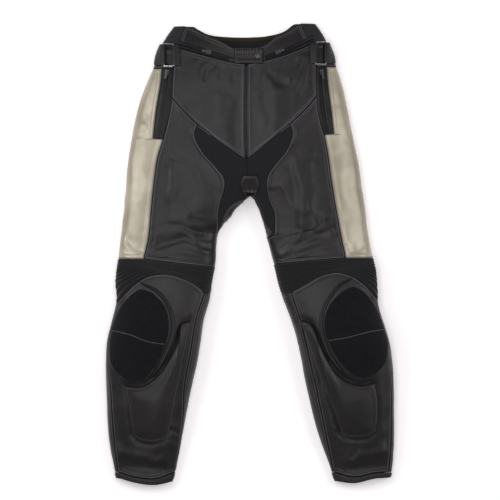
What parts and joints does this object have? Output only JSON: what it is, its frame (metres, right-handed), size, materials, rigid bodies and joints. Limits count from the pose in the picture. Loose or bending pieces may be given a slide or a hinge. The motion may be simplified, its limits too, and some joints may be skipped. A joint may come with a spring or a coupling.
{
  "type": "leather motorcycle pants",
  "caption": "Padded leather riding trousers laid flat, with stretch panels, zipped pockets, waist adjusters and knee pads.",
  "frame": {"origin": "middle of the garment's footprint, on the surface it lies on", "axes": "+X across the garment to the right as seen from above, +Y up it towards the waist, +Z up from the surface"},
  "size_m": [0.6191, 0.9928, 0.083],
  "materials": {
    "black_leather": "satin grained leather",
    "stretch_cloth": "matte ribbed stretch cloth",
    "elastic_web": "matte woven elastic",
    "hook_and_loop": "matte pile",
    "champagne_leather": "pearl coated leather",
    "lining_cloth": "matte lining",
    "olive_binding": "matte woven tape",
    "zip_tape": "laminated zip with moulded teeth",
    "strap_leather": "satin leather strap",
    "chromed_steel": "polished wire",
    "dark_zinc": "dark cast zinc"
  },
  "bodies": {
    "pants": {"front_left": "black_leather", "front_right": "black_leather", "thigh_front_left": "black_leather", "thigh_front_right": "black_leather", "side_panel_left": "champagne_leather", "side_panel_right": "champagne_leather", "seat_left": "black_leather", "seat_right": "black_leather", "calf_back_left": "black_leather", "calf_back_right": "black_leather", "shin_front_left": "black_leather", "shin_front_right": "black_leather", "knee_knit_left": "stretch_cloth", "knee_knit_right": "stretch_cloth", "inner_strip_left": "black_leather", "inner_strip_right": "black_leather", "hem_band_left": "strap_leather", "hem_band_right": "strap_leather", "waistband_front_left": "black_leather", "waistband_front_right": "black_leather", "waistband_back": "black_leather", "back_facing": "lining_cloth", "back_binding": "olive_binding", "side_elastic_left": "elastic_web", "side_elastic_right": "elastic_web", "side_yoke_left": "black_leather", "side_yoke_right": "black_leather", "crotch_gusset_left": "stretch_cloth", "crotch_gusset_right": "stretch_cloth", "crotch_patch": "black_leather", "fly_zip": "zip_tape", "waist_tab": "black_leather", "waist_snap": "dark_zinc", "pocket_zip_left": "zip_tape", "pocket_zip_right": "zip_tape", "connection_zip_left": "zip_tape", "connection_zip_right": "zip_tape", "adjuster_ring_left": "chromed_steel", "adjuster_ring_right": "chromed_steel", "adjuster_strap_left": "strap_leather", "adjuster_strap_right": "strap_leather", "adjuster_web_left": "elastic_web", "adjuster_web_right": "elastic_web", "knee_welt_left": "black_leather", "knee_welt_right": "black_leather", "knee_patch_upper_left": "hook_and_loop", "knee_patch_upper_right": "hook_and_loop", "knee_patch_lower_left": "hook_and_loop", "knee_patch_lower_right": "hook_and_loop", "shin_guard_left": "black_leather", "shin_guard_right": "black_leather", "pocket_slider_left": "dark_zinc", "pocket_slider_right": "dark_zinc", "connection_slider_left": "dark_zinc", "connection_slider_right": "dark_zinc"},
    "pocket_pull_left": {"pocket_pull_left": "dark_zinc"},
    "pocket_pull_right": {"pocket_pull_right": "dark_zinc"},
    "connection_pull_left": {"connection_pull_left": "dark_zinc"},
    "connection_pull_right": {"connection_pull_right": "dark_zinc"}
  },
  "joints": [
    {"name": "pocket_pull_left_lift", "type": "hinge", "parent": "pants", "child": "pocket_pull_left", "pos_m": [-0.17963, 0.39163, 0.04824], "axis": [-0.9545, 0.1289, -0.2691], "range_deg": [0, 100]},
    {"name": "pocket_pull_right_lift", "type": "hinge", "parent": "pants", "child": "pocket_pull_right", "pos_m": [0.15479, 0.39154, 0.04902], "axis": [-0.9602, -0.1152, 0.2546], "range_deg": [0, 100]},
    {"name": "connection_pull_left_lift", "type": "hinge", "parent": "pants", "child": "connection_pull_left", "pos_m": [-0.08967, 0.43501, 0.05019], "axis": [0.2355, 0.9422, -0.2384], "range_deg": [0, 100]},
    {"name": "connection_pull_right_lift", "type": "hinge", "parent": "pants", "child": "connection_pull_right", "pos_m": [0.05981, 0.43501, 0.05067], "axis": [0.3618, -0.9045, 0.2256], "range_deg": [0, 100]}
  ]
}
